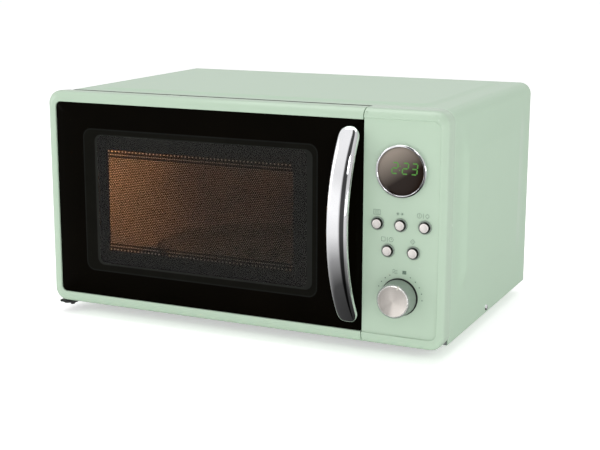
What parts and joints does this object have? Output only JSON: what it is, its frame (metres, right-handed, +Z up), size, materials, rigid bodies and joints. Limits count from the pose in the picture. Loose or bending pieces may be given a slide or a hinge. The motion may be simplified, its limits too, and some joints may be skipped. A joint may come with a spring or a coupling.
{
  "type": "microwave oven",
  "caption": "Countertop microwave oven in a retro painted case, with a left-hinged glass door, bowed metal handle, round display, push buttons and a timer knob.",
  "frame": {"origin": "centre of the bounding box, on the plane that the feet stand on", "axes": "+Z up, +X to the right seen from the front, the door faces -Y"},
  "size_m": [0.452, 0.358, 0.248],
  "materials": {
    "case_paint": "satin sage green powder coat",
    "moulded_paint": "satin gloss sage green paint on moulded plastic",
    "bare_steel": "zinc-plated sheet",
    "cavity_enamel": "light grey enamel",
    "chrome": "bright plated",
    "brushed_face": "radially brushed",
    "satin_knob": "satin metallic",
    "black_glass": "printed black",
    "clear_glass": "clear",
    "lens_smoke": "smoked lens",
    "display_black": "black with green digits",
    "clear_film": "clear sheet",
    "screen_black": "black enamel, perforated",
    "grey_plastic": "fine texture",
    "black_plastic": "fine texture",
    "rubber_black": "matte",
    "natural_nylon": "natural nylon",
    "board_green": "solder mask",
    "copper_winding": "varnished core and windings",
    "lamp_glass": "warm lamp",
    "mica": "mica sheet",
    "lever_orange": "moulded"
  },
  "bodies": {
    "housing": {"outer_cover": "case_paint", "base_plate": "bare_steel", "rear_panel": "bare_steel", "front_plate": "cavity_enamel", "oven_cavity": "cavity_enamel", "feet": "rubber_black", "rear_spacers": "black_plastic", "cover_screws": "chrome", "cord_gland": "black_plastic", "hinge_upper": "bare_steel", "hinge_lower": "bare_steel", "control_panel": "moulded_paint", "display_ring": "chrome", "display_lens": "lens_smoke", "display_module": "display_black", "button_collars": "chrome", "control_board": "board_green", "tact_switches": "black_plastic", "timer_encoder": "bare_steel", "knob_base_ring": "black_plastic", "turntable_motor": "bare_steel", "magnetron": "bare_steel", "waveguide": "bare_steel", "waveguide_cover": "mica", "transformer": "copper_winding", "capacitor": "bare_steel", "hv_diode": "black_plastic", "fan_motor": "bare_steel", "fan_shroud": "black_plastic", "air_duct": "grey_plastic", "oven_lamp": "lamp_glass", "noise_filter": "board_green", "thermal_cutout": "natural_nylon", "interlock_bracket": "natural_nylon", "microswitches": "black_plastic"},
    "door": {"door_frame": "moulded_paint", "door_glass": "black_glass", "door_screen": "screen_black", "door_film": "clear_film", "choke_cover": "grey_plastic", "door_handle": "chrome", "handle_screws": "bare_steel", "latch_spring": "bare_steel"},
    "latch": {"door_latch": "natural_nylon"},
    "knob": {"encoder_shaft": "bare_steel", "timer_knob": "satin_knob", "knob_cap": "brushed_face"},
    "turntable_drive": {"turntable_coupler": "natural_nylon"},
    "turntable_plate": {"turntable_plate": "clear_glass"},
    "roller_ring": {"roller_ring": "natural_nylon"},
    "fan": {"fan_blade": "grey_plastic"},
    "interlock_lever": {"interlock_lever": "lever_orange"},
    "button_1": {"button_1": "chrome"},
    "button_2": {"button_2": "chrome"},
    "button_3": {"button_3": "chrome"},
    "button_4": {"button_4": "chrome"},
    "button_5": {"button_5": "chrome"},
    "roller_1": {"roller_1": "natural_nylon"},
    "roller_2": {"roller_2": "natural_nylon"},
    "roller_3": {"roller_3": "natural_nylon"}
  },
  "joints": [
    {"name": "door_hinge", "type": "hinge", "parent": "housing", "child": "door", "pos_m": [-0.216, -0.129, 0.014], "axis": [0, 0, -1], "range_deg": [0, 100]},
    {"name": "latch_slide", "type": "slide", "parent": "door", "child": "latch", "axis": [0, 0, 1], "range_m": [0, 0.004], "stiffness_N_per_m": 250, "springref_m": -0.003, "deforming": ["latch_spring"]},
    {"name": "lever_tip", "type": "hinge", "parent": "housing", "child": "interlock_lever", "pos_m": [0.1265, -0.091, 0.171], "axis": [-1, 0, 0], "range_deg": [0, 8], "stiffness_Nm_per_rad": 0.02, "springref_deg": -17.19},
    {"name": "knob_turn", "type": "hinge", "parent": "housing", "child": "knob", "pos_m": [0.1822, -0.141, 0.0658], "axis": [0, 1, 0], "continuous": true},
    {"name": "turntable_spin", "type": "hinge", "parent": "housing", "child": "turntable_drive", "pos_m": [-0.046, 0.022, 0.036], "axis": [0, 0, 1], "continuous": true},
    {"name": "plate_lift", "type": "slide", "parent": "turntable_drive", "child": "turntable_plate", "axis": [0, 0, 1], "range_m": [0, 0.03]},
    {"name": "ring_spin", "type": "hinge", "parent": "housing", "child": "roller_ring", "pos_m": [-0.046, 0.022, 0.036], "axis": [0, 0, 1], "continuous": true},
    {"name": "fan_spin", "type": "hinge", "parent": "housing", "child": "fan", "pos_m": [0.166, 0.152, 0.134], "axis": [0, 1, 0], "continuous": true},
    {"name": "button_1_press", "type": "slide", "parent": "housing", "child": "button_1", "axis": [0, 1, 0], "range_m": [0, 0.0012], "stiffness_N_per_m": 500, "springref_m": -0.0008},
    {"name": "button_2_press", "type": "slide", "parent": "housing", "child": "button_2", "axis": [0, 1, 0], "range_m": [0, 0.0012], "stiffness_N_per_m": 500, "springref_m": -0.0008},
    {"name": "button_3_press", "type": "slide", "parent": "housing", "child": "button_3", "axis": [0, 1, 0], "range_m": [0, 0.0012], "stiffness_N_per_m": 500, "springref_m": -0.0008},
    {"name": "button_4_press", "type": "slide", "parent": "housing", "child": "button_4", "axis": [0, 1, 0], "range_m": [0, 0.0012], "stiffness_N_per_m": 500, "springref_m": -0.0008},
    {"name": "button_5_press", "type": "slide", "parent": "housing", "child": "button_5", "axis": [0, 1, 0], "range_m": [0, 0.0012], "stiffness_N_per_m": 500, "springref_m": -0.0008},
    {"name": "roller_1_roll", "type": "hinge", "parent": "roller_ring", "child": "roller_1", "pos_m": [-0.046, 0.11, 0.0432], "axis": [0, -1, 0], "continuous": true},
    {"name": "roller_2_roll", "type": "hinge", "parent": "roller_ring", "child": "roller_2", "pos_m": [-0.12221, -0.022, 0.0432], "axis": [0.866, 0.5, 0], "continuous": true},
    {"name": "roller_3_roll", "type": "hinge", "parent": "roller_ring", "child": "roller_3", "pos_m": [0.03021, -0.022, 0.0432], "axis": [-0.866, 0.5, 0], "continuous": true}
  ],
  "couplings": [
    {"joint": "ring_spin", "follows": "turntable_spin", "ratio": 0.5},
    {"joint": "roller_1_roll", "follows": "turntable_spin", "ratio": 6.2857},
    {"joint": "roller_2_roll", "follows": "turntable_spin", "ratio": 6.2857},
    {"joint": "roller_3_roll", "follows": "turntable_spin", "ratio": 6.2857}
  ]
}
